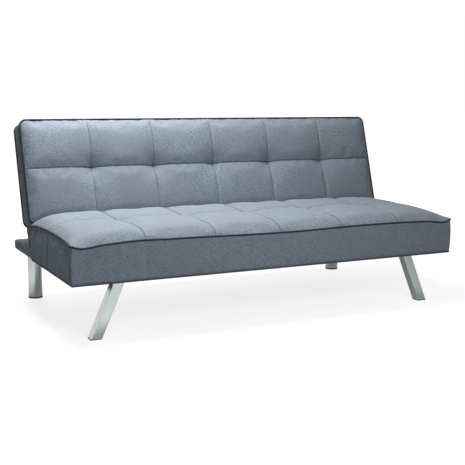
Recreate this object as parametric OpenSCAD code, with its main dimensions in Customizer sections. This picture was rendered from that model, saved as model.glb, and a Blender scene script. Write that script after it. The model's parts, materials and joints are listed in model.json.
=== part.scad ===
// Armless futon sofa bed: a padded seat on a wooden frame, a rear support box bolted behind it,
// and a padded back that folds down level with the seat on two ratchet hinges.
// Millimetres. +X is to the right seen from the front, +Y to the rear, +Z up.
// The origin is on the floor under the middle of the object.

/* [Overall] */
// Width over the piping
sofa_w = 1680; // [1200:10:2000]
// Depth from the front of the seat to the rear of the support box
sofa_d = 840; // [800:4:1008]
// Height of the underside of the seat above the floor
underside_z = 210; // [170:5:300]

/* [Seat] */
// Depth of the seat in front of the back
seat_d = 553; // [480:1:600]
// Height of the seat's piping above the underside
seat_h = 148; // [130:1:190]
// Rise of the padding in the middle of the seat
seat_crown = 46; // [25:1:55]
// Height of the seat's wooden rails
seat_rail_h = 85; // [70:1:95]

/* [Back] */
// Length of the back from its lower end to its upper end
back_l = 428; // [360:1:520]
// Thickness of the back between its two pipings
back_t = 100; // [90:1:120]
// Lean of the back behind the vertical when it is upright, in degrees
back_rake = 17.5; // [10:0.5:22]
// How far the back's lower front edge travels rearwards from sofa to bed
fold_shift = 44; // [40:1:50]
// Rise of the padding in the middle of the back
back_crown = 17; // [5:1:20]

/* [Support box] */
// Thickness of the rear support box with its cover
box_h = 45; // [40:1:54]
// How far each end of the box is set in from the end of the seat
box_inset = 8; // [4:1:14]

/* [Wood] */
// Thickness of the rails
rail_t = 22; // [18:0.2:26.4]
// Thickness of the boards that the legs screw into
board_t = 18; // [15:1:24]
// Thickness of the plywood on the support box
ply_t = 6; // [4:1:9]

/* [Cloth] */
// Thickness of the cover fabric
cover_t = 2; // [1:0.5:3]
// Thickness of the dust cover under the frame
dust_t = 1; // [0.5:0.5:2]
// Radius of the piping
welt_r = 4; // [3:0.5:5]
// How far the piping stands out past the cover
welt_proud = 2; // [1:0.5:3]
// Corner radius of the seat seen from above
seat_corner_r = 26; // [15:1:40]
// Corner radius of the back seen from the front
back_corner_r = 26; // [15:1:40]

/* [Front legs] */
// Side of the square tube
front_tube = 40; // [30:1:50]
// Distance of each foot in from the end of the sofa, at the floor
front_foot_in = 103; // [80:1:340]
// Distance of the tube's middle behind the front rail
front_leg_behind = 28; // [22:1:52]
// Outward lean of the front legs, in degrees
front_lean = 23.6; // [0:0.1:26]

/* [Rear legs] */
// Radius of the round tube
rear_tube_r = 30; // [22:0.5:32]
// Distance of each rear leg in from the end of the sofa
rear_leg_end = 80; // [75:1:340]
// Distance of the rear leg's middle in front of the box's rear
rear_leg_in = 43; // [42:1:60]

/* [Hinges] */
// Thickness of the toothed plate
plate_t = 4; // [3:0.5:5]
// Thickness of each cheek of the moving arm
cheek_t = 3; // [2:0.5:4]
// Radius of the toothed head
head_r = 21; // [19:0.5:21]
// Radius of the pivot rivet
rivet_r = 5; // [4:0.5:6]
// Lift of each pawl out of the teeth, in degrees
pawl_lift = 16; // [14:1:18]
// Angle of the half-reclined notch from upright, in degrees
lounge_angle = 35; // [30:1:40]

/* [Hidden] */
$fn = 64;

grey_cloth = "lightslategray";
navy_cloth = "midnightblue";
black_cloth = "#202024";
pine = "burlywood";
foam_yellow = "khaki";
chrome = "gainsboro";
zinc = "silver";
black_steel = "#303236";
black_plastic = "#151517";

big = 3000;
slit = 0.4;                       // air left between pieces that slide past each other
bolt_r = 4;
bolt_head_h = 5;
screw_r = 2.2;
tube_wall = 1.6;

// Heights, from the floor
seat_top = underside_z + seat_h;                   // level of the piping
flange_z = underside_z + dust_t;
rail_z = flange_z + cover_t;                       // underside of every wooden rail
seat_rail_top = rail_z + seat_rail_h;
webbing_t = 1.5;
foam_z = seat_rail_top + 2 * webbing_t;
box_top = underside_z + box_h;
box_pad_t = 4;
box_rail_h = box_top - cover_t - box_pad_t - ply_t - rail_z;
ply_z = rail_z + box_rail_h;
edge_z = seat_top - 3;                             // where the crown of the seat starts
leg_plate_t = 4;
leg_plate_z = underside_z - leg_plate_t;

// Half widths
cover_x = sofa_w / 2 - welt_proud;
skirt_t = 14;                                      // padding outside the rails
rail_x = cover_x - cover_t - skirt_t;
rail_in_x = rail_x - rail_t;
box_x = sofa_w / 2 - box_inset;

// Depths, from the front of the seat
rail_y = welt_proud + cover_t + 12;
frame_d = seat_d - 8;                              // rear face of the seat frame
box_rear_y = sofa_d - cover_t - 3;
rear_leg_y = sofa_d - rear_leg_in;
rear_leg_x = sofa_w / 2 - rear_leg_end;
front_leg_y = rail_y + rail_t + front_leg_behind;
front_foot_x = sofa_w / 2 - front_foot_in;

// Fold: the back turns about the pivot from its rake to level with the seat
fold_angle = 90 - back_rake;
end_gap = fold_shift / 2;                          // from the pivot to the back's lower end
pivot_in = end_gap / tan(fold_angle / 2);          // from the pivot to the back's front face
pivot_y = seat_d + end_gap;
pivot_z = seat_top - pivot_in;
nose_r = end_gap - 4;                              // the seat's rear edge, rounded about the pivot
lip_z = box_top + 4;                               // lower end of the seat's rear cloth

// Hinges: layers outwards from the middle, beside the side rail's inner face
plate_x0 = rail_in_x - plate_t;
inner_cheek_x0 = plate_x0 - slit - cheek_t;
outer_cheek_x0 = rail_in_x + slit;
stile_in_x = outer_cheek_x0 + cheek_t;
spring_w = 5;
pin_head = 1.5;
slot_x0 = inner_cheek_x0 - spring_w - pin_head - 1;
slot_x1 = stile_in_x + 3;
tooth_a = 38;                                      // pawl tooth, clockwise from the arm
tooth_tip = 16.5;
pin_a = 18.5;
pin_b = 24;
pin_r = 3;
pin_fit = 0.06;
rivet_fit = 0.08;

// Back frame: wood between the padding and the rear panel
wood_t0 = 46;
wood_t1 = back_t - 6;
back_rim = 14;
back_x = cover_x;
back_rail_h = 40;
arm_t = 66;                                        // middle of the hinge arm inside the back

/* ---------- helpers ---------- */

// Moves the design, drawn from the front of the seat, over the origin
module placed() translate([0, -sofa_d / 2, 0]) children();

// Draws a piece at the right (+X) end, or mirrored at the left end
module at_end(side) mirror([side < 0 ? 1 : 0, 0, 0]) children();

// A box from one corner to the opposite one
module block(a, b) translate(a) cube([b[0] - a[0], b[1] - a[1], b[2] - a[2]]);

// Extrudes an outline drawn in (y, z) along X, from x0 to x1
module along_x(x0, x1) translate([x0, 0, 0]) rotate([90, 0, 90]) linear_extrude(x1 - x0) children();

// Extrudes an outline drawn in (x, z) along Y, from y0 to y1
module along_y(y0, y1) translate([0, y1, 0]) rotate([90, 0, 0]) linear_extrude(y1 - y0) children();

// A rectangle with true round corners
module round_rect(x0, y0, x1, y1, r) {
    translate([x0 + r, y0]) square([x1 - x0 - 2 * r, y1 - y0]);
    translate([x0, y0 + r]) square([x1 - x0, y1 - y0 - 2 * r]);
    for (x = [x0 + r, x1 - r], y = [y0 + r, y1 - r]) translate([x, y]) circle(r);
}

// Stands children in the back's own frame: +Z up the back, +Y through it to the rear
module on_back() translate([0, seat_d, seat_top]) rotate([-back_rake, 0, 0]) children();

// A cylinder along X from x0 to x1
module pin_x(x0, x1, y, z, r) translate([x0, y, z]) rotate([0, 90, 0]) cylinder(x1 - x0, r = r);

function unit(v) = v / norm(v);

// Tangent of a path at point i
function tangent(p, i, closed) =
    let (n = len(p),
         a = closed ? p[(i + n - 1) % n] : p[max(i - 1, 0)],
         b = closed ? p[(i + 1) % n] : p[min(i + 1, n - 1)])
    unit(b - a);

// A round cord swept along a path, as one closed polyhedron
module cord(path, r, sides, closed, ref = [1, 1, 1]) {
    n = len(path);
    rings = [for (i = [0:n - 1])
        let (t = tangent(path, i, closed), s = unit(cross(t, ref)), u = cross(s, t))
        for (k = [0:sides - 1]) path[i] + r * (cos(360 * k / sides) * s + sin(360 * k / sides) * u)];
    walls = [for (i = [0:(closed ? n : n - 1) - 1], k = [0:sides - 1])
        let (a = i * sides, b = ((i + 1) % n) * sides, m = (k + 1) % sides)
        [a + k, a + m, b + m, b + k]];
    ends = closed ? [] : [[for (k = [sides - 1:-1:0]) k], [for (k = [0:sides - 1]) (n - 1) * sides + k]];
    polyhedron(rings, concat(walls, ends), convexity = 8);
}

// Points of a quarter turn from direction a towards direction b, about a centre
function quarter(c, a, b, r, n = 5) = [for (i = [0:n]) c + r * (cos(90 * i / n) * a + sin(90 * i / n) * b)];

// A crown: 0 at both ends and 1 in the middle of the range, with fuller ends for a larger power
function crown(f, power) = sqrt(1 - pow(abs(2 * f - 1), power));

/* ---------- seat outline ---------- */

crown_y0 = welt_proud + 6;
crown_y1 = seat_d - 5;                             // the crown is cut off here, in front of the back
crown_steps = 12;

// Side outline of the seat, drawn in (y, z) and set in by i; z0 is its lower edge
function seat_side(i, z0) = concat(
    [[frame_d + cover_t - i, z0], [welt_proud + i, z0], [welt_proud + i, edge_z - i]],
    [for (k = [0:crown_steps])
        [crown_y0 + i + (crown_y1 - crown_y0 - 2 * i) * k / crown_steps,
         edge_z + seat_crown * crown((crown_y1 - crown_y0) / (pivot_y - crown_y0) * k / crown_steps, 4) - i]],
    [[crown_y1 - i, pivot_z + nose_r - i]],
    [for (a = [90:-20:-30]) [pivot_y + (nose_r - i) * cos(a), pivot_z + (nose_r - i) * sin(a)]],
    [[frame_d + 2 * cover_t - i, lip_z + i], [frame_d + cover_t - i, lip_z + i]]
);

// Front outline of the seat, drawn in (x, z) and set in by i
function seat_front(i, z0) = concat(
    [[cover_x - i, z0], [-cover_x + i, z0]],
    [for (k = [0:crown_steps])
        [(cover_x - i) * (2 * k / crown_steps - 1), edge_z + seat_crown * crown(k / crown_steps, 8) - i]]
);

// The padded seat, set in by i, from z0 up
module seat_body(i, z0) intersection() {
    along_x(-big, big) polygon(seat_side(i, z0));
    along_y(-big, big) polygon(seat_front(i, z0));
    linear_extrude(big)
        round_rect(-cover_x + i, welt_proud + i, cover_x - i, seat_d + 200, seat_corner_r - i);
}

// Room for a hinge at the rear of the seat
module hinge_slots() for (side = [-1, 1]) at_end(side) {
    block([slot_x0, frame_d - 140, lip_z - 1], [slot_x1, big, pivot_z + head_r + 1]);
    block([slot_x0, frame_d - 140, rail_z], [slot_x1, frame_d + 1, lip_z]);
}

/* ---------- screws and their holes ---------- */

front_leg_x = front_foot_x - leg_plate_z * tan(front_lean);   // under the frame
front_screws = [for (x = [-42, 42], y = [-24, 24]) [front_leg_x + x, front_leg_y + y]];
rear_screws = [for (x = [-31, 31], y = [-31, 31]) [rear_leg_x + x, rear_leg_y + y]];
screw_top = rail_z + board_t - 2;
joining_x = [for (x = [-0.72, -0.26, 0.26, 0.72]) x * rail_in_x];
joining_z = rail_z + box_rail_h / 2;

module screw(p) {
    translate([p[0], p[1], leg_plate_z - 3]) cylinder(3, r = 5);
    translate([p[0], p[1], leg_plate_z - 3]) cylinder(screw_top - leg_plate_z + 3, r = screw_r);
}

module screw_holes(list, x_mirror = true)
    for (side = x_mirror ? [-1, 1] : [1], p = list) at_end(side)
        translate([p[0], p[1], 0]) cylinder(screw_top, r = screw_r);

module leg_holes() {
    screw_holes(front_screws);
    screw_holes(rear_screws);
}

module joining_holes() for (x = joining_x)
    translate([x, frame_d - rail_t - 1, joining_z]) rotate([-90, 0, 0]) cylinder(2 * rail_t + 2, r = bolt_r);

// Three bolts of the toothed plate, in (y, z), and the notch that clears the plate in the rear rail
plate_bar_r = 15;
plate_bolts = [for (y = [118, 72, 28]) [frame_d - y, seat_rail_top - 26]];
plate_notch_z = plate_bolts[0][1] - plate_bar_r - 1;
// Three bolts of the moving arm, in the back's frame (y, z)
arm_bolts = [[arm_t, 60], [arm_t, 110], [arm_t, 160]];

/* ---------- seat frame ---------- */

module seat_front_rail() color(pine)
    block([-rail_x, rail_y, rail_z], [rail_x, rail_y + rail_t, seat_rail_top]);

module seat_rear_rail() color(pine) difference() {
    block([-rail_in_x, frame_d - rail_t, rail_z], [rail_in_x, frame_d, seat_rail_top]);
    for (side = [-1, 1]) at_end(side)
        block([plate_x0 - bolt_head_h - 1, 0, plate_notch_z], [big, big, big]);
    joining_holes();
}

module seat_side_rail(side) color(pine) at_end(side) difference() {
    block([rail_in_x, rail_y + rail_t, rail_z], [rail_x, frame_d, seat_rail_top]);
    for (p = plate_bolts) pin_x(rail_in_x - 1, rail_x - 4, p[0], p[1], bolt_r);
}

cross_x = sofa_w / 6;
module seat_cross_rails() color(pine) for (x = [-cross_x, cross_x])
    block([x - rail_t / 2, rail_y + rail_t, rail_z + board_t],
          [x + rail_t / 2, frame_d - rail_t, seat_rail_top]);

block_leg = 60;
block_h = 40;
module corner_block(y, z, dy) translate([rail_in_x, y, z]) linear_extrude(block_h)
    polygon([[0, 0], [-block_leg, 0], [0, dy * block_leg]]);

module seat_corner_blocks() color(pine) for (side = [-1, 1]) at_end(side) {
    corner_block(rail_y + rail_t, rail_z + board_t, 1);
    corner_block(frame_d - rail_t, rail_z, -1);
}

module front_leg_board() color(pine) difference() {
    block([-rail_in_x, rail_y + rail_t, rail_z], [rail_in_x, rail_y + rail_t + 80, rail_z + board_t]);
    screw_holes(front_screws);
}

belt_w = 50;
module seat_webbing_long() color(black_cloth) for (k = [1:4]) {
    y = rail_y + rail_t + (frame_d - 2 * rail_t - rail_y) * k / 5;
    block([-rail_x, y - belt_w / 2, seat_rail_top], [rail_x, y + belt_w / 2, seat_rail_top + webbing_t]);
}

belts = 11;
module seat_webbing_cross() color(black_cloth) for (k = [0:belts - 1]) {
    x = (rail_in_x - 60) * (2 * k / (belts - 1) - 1);
    block([x - belt_w / 2, rail_y, seat_rail_top + webbing_t],
          [x + belt_w / 2, frame_d, seat_rail_top + 2 * webbing_t]);
}

module seat_foam() color(foam_yellow) difference() {
    seat_body(cover_t, rail_z);
    block([-rail_x, rail_y, 0], [rail_x, big, foam_z]);
    hinge_slots();
}

flange_w = 30;
module seat_cover() color(grey_cloth) difference() {
    seat_body(0, flange_z);
    seat_body(cover_t, rail_z);
    block([-rail_x + flange_w, rail_y + flange_w, 0], [rail_x - flange_w, frame_d - flange_w, rail_z + 1]);
    block([-rail_x, frame_d, 0], [rail_x, big, lip_z]);
    hinge_slots();
    leg_holes();
}

// Path of the seat's piping: up the rear corner, along the end, round the front and back again
welt_x = sofa_w / 2 - welt_r;
welt_z = edge_z;
function seat_end_path(side) = let (
        x = side * welt_x,
        c = seat_corner_r - welt_r + welt_proud,
        nose = [for (a = [-20:25:80])
            [x, pivot_y + (nose_r - 2) * cos(a), pivot_z + (nose_r - 2) * sin(a)]])
    concat([[x, frame_d + 4, lip_z + 2]], nose, [[x, crown_y1 - 4, pivot_z + nose_r + 3]],
        [for (k = [0:3]) [x, crown_y1 - 30 - (crown_y1 - 90) * k / 3, welt_z]],
        quarter([side * (welt_x - c), welt_r + c, welt_z], [side, 0, 0], [0, -1, 0], c));

function reversed(p) = [for (i = [len(p) - 1:-1:0]) p[i]];

module seat_piping() color(navy_cloth)
    cord(concat(seat_end_path(-1), [for (k = [-2:2]) [k * sofa_w / 6, welt_r, welt_z]],
                reversed(seat_end_path(1))), welt_r, 8, false);

module seat_dust_cover() color(black_cloth) difference() {
    linear_extrude(flange_z) round_rect(-rail_x, rail_y, rail_x, frame_d, 4);
    block([-big, -big, -1], [big, big, underside_z]);
    leg_holes();
}

/* ---------- rear support box ---------- */

module box_front_rail() color(pine) difference() {
    block([-rail_in_x, frame_d, rail_z], [rail_in_x, frame_d + rail_t, ply_z]);
    joining_holes();
}

module box_rear_rail() color(pine) difference() {
    block([-rail_x, box_rear_y - rail_t, rail_z], [rail_x, box_rear_y, ply_z]);
    screw_holes(rear_screws);
}

module box_side_rails() color(pine) for (side = [-1, 1]) at_end(side)
    block([rail_in_x, frame_d, rail_z], [rail_x, box_rear_y - rail_t, ply_z]);

module rear_leg_blocks() color(pine) difference() {
    for (side = [-1, 1]) at_end(side)
        block([rail_in_x - 110, box_rear_y - rail_t - 80, rail_z],
              [rail_in_x, box_rear_y - rail_t, rail_z + board_t]);
    screw_holes(rear_screws);
}

module box_top_board() color(pine)
    block([-rail_x, frame_d + cover_t + 2, ply_z], [rail_x, box_rear_y, ply_z + ply_t]);

module box_shape(i, z0) intersection() {
    along_y(frame_d + 2, sofa_d - i)
        round_rect(-box_x + i, z0 - 40, box_x - i, box_top - i, 10 - i);
    linear_extrude(big) round_rect(-box_x + i, 0, box_x - i, sofa_d - i, 14 - i);
    block([-big, -big, z0], [big, big, big]);
}

module box_pad() color(foam_yellow) difference() {
    box_shape(cover_t, rail_z);
    block([-rail_x, 0, 0], [rail_x, box_rear_y, ply_z + ply_t]);
}

module box_cover() color(grey_cloth) difference() {
    box_shape(0, flange_z);
    intersection() {
        box_shape(cover_t, rail_z);
        block([-big, -big, rail_z], [big, big, big]);
    }
    block([-rail_x + flange_w, 0, 0], [rail_x - flange_w, box_rear_y - flange_w, rail_z + 1]);
    leg_holes();
}

module box_dust_cover() color(black_cloth) difference() {
    block([-rail_x, frame_d + 1, underside_z], [rail_x, box_rear_y, flange_z]);
    leg_holes();
}

module joining_bolts() color(zinc) for (x = joining_x)
    translate([x, frame_d - rail_t - bolt_head_h, joining_z]) rotate([-90, 0, 0]) {
        cylinder(bolt_head_h, r = 7);
        cylinder(bolt_head_h + 2 * rail_t + 10, r = bolt_r);
    }

module joining_nuts() color(zinc) for (x = joining_x) translate([x, frame_d + rail_t, joining_z])
    rotate([-90, 0, 0]) difference() {
        union() {
            cylinder(1.5, r = 9);
            cylinder(8, r = 7.5, $fn = 6);
        }
        translate([0, 0, -1]) cylinder(12, r = bolt_r);
    }

/* ---------- legs ---------- */

// The front leg's leaning bar, drawn at the right end: wall is its set-in from the tube's outside
module front_bar(wall, z0, z1) intersection() {
    translate([front_foot_x, front_leg_y, 0]) rotate([0, -front_lean, 0])
        translate([0, 0, -60]) linear_extrude(underside_z + 140)
            round_rect(-front_tube / 2 + wall, -front_tube / 2 + wall,
                       front_tube / 2 - wall, front_tube / 2 - wall, 4 - wall);
    block([0, -200, z0], [big, big, z1]);
}

cap_h = 4;
module front_leg(side) color(chrome) at_end(side) difference() {
    union() {
        front_bar(0, cap_h, leg_plate_z);
        translate([front_leg_x, front_leg_y, leg_plate_z])
            linear_extrude(leg_plate_t) round_rect(-54, -34, 54, 34, 6);
    }
    front_bar(tube_wall, cap_h - 1, leg_plate_z);
    screw_holes(front_screws, false);
}

module front_foot_cap(side) color(black_plastic) at_end(side) {
    front_bar(0, 0, cap_h);
    front_bar(tube_wall, cap_h, cap_h + 14);
}

module front_leg_screws() color(zinc) for (side = [-1, 1], p = front_screws) at_end(side) screw(p);

rear_cap_h = 6;
module rear_leg(side) color(chrome) at_end(side) translate([rear_leg_x, rear_leg_y, 0]) difference() {
    union() {
        translate([0, 0, rear_cap_h]) cylinder(leg_plate_z - rear_cap_h, r = rear_tube_r);
        translate([0, 0, leg_plate_z]) linear_extrude(leg_plate_t) round_rect(-42, -42, 42, 42, 6);
    }
    cylinder(leg_plate_z, r = rear_tube_r - tube_wall);
    translate([-rear_leg_x, -rear_leg_y, 0]) screw_holes(rear_screws, false);
}

module rear_foot_cap(side) color(black_plastic) at_end(side) translate([rear_leg_x, rear_leg_y, 0]) {
    cylinder(rear_cap_h, r = rear_tube_r + 0.5);
    translate([0, 0, rear_cap_h]) cylinder(14, r = rear_tube_r - tube_wall);
}

module rear_leg_screws() color(zinc) for (side = [-1, 1], p = rear_screws) at_end(side) screw(p);

/* ---------- hinges ---------- */

// Angles about the pivot are measured clockwise from the upright arm, seen from the right.
// clocked(a) turns its children from "up the arm" to that angle.
module clocked(a) translate([pivot_y, pivot_z]) rotate(90 - back_rake - a) children();

// The pawl's tooth, grown by g, with +x pointing out along its radius
module tooth(g) polygon([[tooth_tip - g, -2 - g], [tooth_tip - g, 2 + g],
                         [24, 3.4 + g], [24, -3.4 - g]]);

// The whole pawl in its notch: tooth, arm, boss on its pin, and the tail that the spring pushes
module pawl_outline() {
    polygon([[tooth_tip, -2], [24, -3.4], [29, -3.4], [pin_a + 5.8, pin_b - 1],
             [pin_a - 5.8, pin_b - 1], [24, 3.4], [tooth_tip, 2]]);
    translate([pin_a, pin_b]) circle(6);
    translate([pin_a, pin_b]) polygon([[1, -4.5], [13, 1], [14, 4], [12, 6], [0, 5]]);
}

// The notch that takes the tooth when the back is reclined by an angle
module notch(angle) clocked(tooth_a + angle) mirror([0, 1]) tooth(0.6);

module hinge_plate(side) color(black_steel) at_end(side) difference() {
    along_x(plate_x0, rail_in_x) difference() {
        union() {
            translate([pivot_y, pivot_z]) circle(head_r);
            hull() {
                translate([pivot_y, pivot_z]) circle(head_r - 6, $fn = 32);
                translate(plate_bolts[2]) circle(plate_bar_r, $fn = 32);
            }
            hull() {
                translate(plate_bolts[2]) circle(plate_bar_r, $fn = 32);
                translate(plate_bolts[0]) circle(plate_bar_r, $fn = 32);
            }
        }
        for (angle = [0, lounge_angle, fold_angle]) notch(angle);
    }
    pin_x(0, big, pivot_y, pivot_z, rivet_r + rivet_fit);
    for (p = plate_bolts) pin_x(0, big, p[0], p[1], bolt_r);
}

module hinge_plate_bolts() color(zinc) for (side = [-1, 1], p = plate_bolts) at_end(side) {
    pin_x(plate_x0 - bolt_head_h, plate_x0, p[0], p[1], 7);
    pin_x(plate_x0 - bolt_head_h, rail_x - 4, p[0], p[1], bolt_r);
}

// Outline of one cheek, drawn in (y, z) of the whole design with the back upright
module cheek_outline() {
    hull() {
        translate([pivot_y, pivot_z]) circle(head_r - 1, $fn = 32);
        clocked(tooth_a) mirror([0, 1]) translate([pin_a, pin_b]) circle(8, $fn = 32);
    }
    hull() {
        translate([pivot_y, pivot_z]) circle(14, $fn = 32);
        translate([seat_d, seat_top]) rotate(-back_rake) translate([arm_t, 24]) circle(14, $fn = 32);
    }
    hull() for (s = [24, arm_bolts[2][1]])
        translate([seat_d, seat_top]) rotate(-back_rake) translate([arm_t, s]) circle(14, $fn = 32);
}

module arm_spacer_outline() hull() for (s = [arm_bolts[0][1], arm_bolts[2][1]])
    translate([seat_d, seat_top]) rotate(-back_rake) translate([arm_t, s]) circle(14, $fn = 32);

module arm_bolt_holes() for (p = arm_bolts) on_back() pin_x(0, rail_x - 4, p[0], p[1], bolt_r);

// Axis of the pawl's pin in (y, z): a point found by turning the tooth's frame about the pivot
tooth_dir = 90 - back_rake - tooth_a;
pin_y = pivot_y + pin_a * cos(tooth_dir) + pin_b * sin(tooth_dir);
pin_z = pivot_z + pin_a * sin(tooth_dir) - pin_b * cos(tooth_dir);

module hinge_arm(side) color(black_steel) at_end(side) difference() {
    union() {
        along_x(inner_cheek_x0, inner_cheek_x0 + cheek_t) cheek_outline();
        along_x(outer_cheek_x0, outer_cheek_x0 + cheek_t) cheek_outline();
        along_x(inner_cheek_x0 + cheek_t, outer_cheek_x0) arm_spacer_outline();
    }
    pin_x(0, big, pivot_y, pivot_z, rivet_r);
    pin_x(0, big, pin_y, pin_z, pin_r);
    arm_bolt_holes();
}

module hinge_arm_bolts() color(zinc) for (side = [-1, 1], p = arm_bolts) at_end(side) on_back() {
    pin_x(inner_cheek_x0 - bolt_head_h, inner_cheek_x0, p[0], p[1], 7);
    pin_x(inner_cheek_x0 - bolt_head_h, rail_x - 4, p[0], p[1], bolt_r);
}

module hinge_rivet(side) color(zinc) at_end(side) {
    pin_x(inner_cheek_x0 - 3, inner_cheek_x0, pivot_y, pivot_z, 9);
    pin_x(inner_cheek_x0 - 3, stile_in_x + 2.5, pivot_y, pivot_z, rivet_r);
    pin_x(stile_in_x, stile_in_x + 2.5, pivot_y, pivot_z, 9);
}

module pawl_pins() color(zinc) for (side = [-1, 1]) at_end(side) {
    pin_x(inner_cheek_x0 - spring_w - pin_head, stile_in_x, pin_y, pin_z, pin_r);
    pin_x(inner_cheek_x0 - spring_w - pin_head, inner_cheek_x0 - spring_w, pin_y, pin_z, 5);
    pin_x(stile_in_x, stile_in_x + pin_head, pin_y, pin_z, 4.5);
}

// Wire spring: turns round the pawl's pin, one leg along the cheek and one over the pawl's tail
wire_r = 0.6;
spring_turns = 2.5;
spring_steps = 12;
spring_path = concat(
    [[inner_cheek_x0 - wire_r - 0.1, pin_y + 4.2, pin_z + 16]],
    [for (i = [0:spring_turns * spring_steps])
        let (a = 360 * i / spring_steps)
        [inner_cheek_x0 - wire_r - 0.1 - 3.6 * i / (spring_turns * spring_steps),
         pin_y + 4.2 * cos(a), pin_z + 4.2 * sin(a)]],
    [[inner_cheek_x0 - wire_r - 3.7, pin_y - 4.2, pin_z - 14]]);
module pawl_spring(side) color(zinc) at_end(side) cord(spring_path, wire_r, 6, false, [1, 0.01, 0.02]);

module pawl(side) color(zinc) at_end(side) difference() {
    translate([0, pin_y, pin_z]) rotate([-pawl_lift, 0, 0]) translate([0, -pin_y, -pin_z])
        along_x(plate_x0 + 0.2, rail_in_x - 0.2)
            clocked(tooth_a) mirror([0, 1]) pawl_outline();
    pin_x(0, big, pin_y, pin_z, pin_r + pin_fit);
}

/* ---------- back ---------- */

// Side outline of the back in its own frame (y through it, z up it), set in by i
function back_side(i) = concat(
    [[back_t - i, i], [back_t - i, back_l - i]],
    [for (k = [crown_steps:-1:0])
        [i - back_crown * crown(k / crown_steps, 4), i + (back_l - 2 * i) * k / crown_steps]]
);

// Outline of the back seen from the front, set in by i
module back_face(i) round_rect(-back_x + i, i, back_x - i, back_l - i, back_corner_r - i);

// Plan of the back seen from its lower end, drawn in (x, y) and set in by i
module back_plan(i) polygon(concat(
    [[back_x - i, back_t - i], [-back_x + i, back_t - i]],
    [for (k = [0:crown_steps])
        [(back_x - i) * (2 * k / crown_steps - 1), i - back_crown * crown(k / crown_steps, 8)]]));

module back_body(i) intersection() {
    along_x(-big, big) polygon(back_side(i));
    along_y(-200, 400) back_face(i);
    linear_extrude(big) back_plan(i);
}

// Room for a hinge arm in the back's lower end
module arm_slots() for (side = [-1, 1]) at_end(side) {
    block([slot_x0, 10, -10], [slot_x1, wood_t1, 10]);
    block([slot_x0, 10, -10], [stile_in_x, wood_t1, arm_bolts[2][1] + 20]);
}

module back_rail(z0, z1) color(pine) on_back()
    block([-stile_in_x + 2 * rail_t, wood_t0, z0], [stile_in_x - 2 * rail_t, wood_t1, z1]);

module back_bottom_rail() back_rail(back_rim, back_rim + back_rail_h);
module back_top_rail() color(pine) on_back()
    block([-stile_in_x, wood_t0, back_l - back_rim - back_rail_h], [stile_in_x, wood_t1, back_l - back_rim]);

module back_stile(side) color(pine) on_back() at_end(side) difference() {
    union() {
        block([stile_in_x, wood_t0, back_rim], [rail_x, wood_t1, back_l - back_rim]);
        block([stile_in_x - 2 * rail_t, wood_t0, back_rim],
              [slot_x0, wood_t1, back_l - back_rim - back_rail_h]);
    }
    for (p = arm_bolts) pin_x(stile_in_x - 1, rail_x - 4, p[0], p[1], bolt_r);
    for (p = arm_bolts) pin_x(slot_x0 - 8, slot_x0 + 1, p[0], p[1], 8);
}

module back_middle_stiles() color(pine) on_back() for (x = [-cross_x, cross_x])
    block([x - rail_t / 2, wood_t0, back_rim + back_rail_h],
          [x + rail_t / 2, wood_t1, back_l - back_rim - back_rail_h]);

module back_webbing() color(black_cloth) on_back() for (k = [1:3]) {
    z = back_rim + back_rail_h + (back_l - 2 * back_rim - 2 * back_rail_h) * k / 4;
    block([-rail_x, wood_t0 - webbing_t, z - belt_w / 2], [rail_x, wood_t0, z + belt_w / 2]);
}

module back_foam() color(foam_yellow) on_back() difference() {
    back_body(cover_t);
    block([-rail_x, wood_t0 - webbing_t, back_rim], [rail_x, back_t, back_l - back_rim]);
    block([-big, wood_t1, -big], [big, big, big]);
    arm_slots();
}

module back_cover() color(grey_cloth) on_back() difference() {
    back_body(0);
    back_body(cover_t);
    block([-back_x + flange_w, wood_t1, flange_w], [back_x - flange_w, big, back_l - flange_w]);
    arm_slots();
}

module back_rear_panel() color(black_cloth) on_back() difference() {
    along_y(wood_t1, back_t - cover_t) back_face(cover_t);
    arm_slots();
}

// Piping round the face of the back at depth y
function back_loop(y) = let (
        x = sofa_w / 2 - welt_r, z0 = welt_r - welt_proud, z1 = back_l - welt_r + welt_proud,
        r = back_corner_r - welt_r + welt_proud)
    concat(
        quarter([x - r, y, z1 - r], [1, 0, 0], [0, 0, 1], r),
        quarter([-x + r, y, z1 - r], [0, 0, 1], [-1, 0, 0], r),
        quarter([-x + r, y, z0 + r], [-1, 0, 0], [0, 0, -1], r),
        quarter([x - r, y, z0 + r], [0, 0, -1], [1, 0, 0], r));

module back_front_piping() color(navy_cloth) on_back()
    cord(back_loop(welt_r), welt_r, 8, true, [0, 1, 0]);

module back_rear_piping() color(navy_cloth) on_back()
    cord(back_loop(back_t - welt_r), welt_r, 8, true, [0, 1, 0]);

/* ---------- nodes ---------- */

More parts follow.
